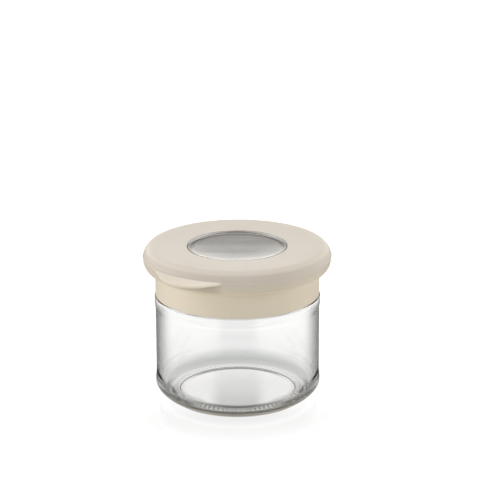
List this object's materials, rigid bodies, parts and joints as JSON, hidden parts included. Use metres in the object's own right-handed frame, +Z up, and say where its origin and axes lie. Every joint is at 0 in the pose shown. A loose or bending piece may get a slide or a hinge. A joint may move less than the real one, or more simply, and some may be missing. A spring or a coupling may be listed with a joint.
{
  "type": "glass storage jar with lid",
  "caption": "Low round clear glass jar with a thick stippled base, closed by a cream plastic lid with a wide rounded rim, a pull tab and a round clear window.",
  "frame": {"origin": "on the jar's axis, in the plane that the jar stands on", "axes": "+Z up along the jar's axis; -Y towards the front that the picture shows; +X to the right of it. The pull tab is 33 degrees to the left of the front"},
  "size_m": [0.1044, 0.1059, 0.088],
  "materials": {
    "clear_glass": "clear pressed glass, smooth",
    "cream_plastic": "satin moulded plastic",
    "clear_plastic": "clear moulded plastic, smooth"
  },
  "bodies": {
    "root": {"glass_jar": "clear_glass", "lid": "cream_plastic", "lid_window": "clear_plastic"}
  },
  "joints": []
}
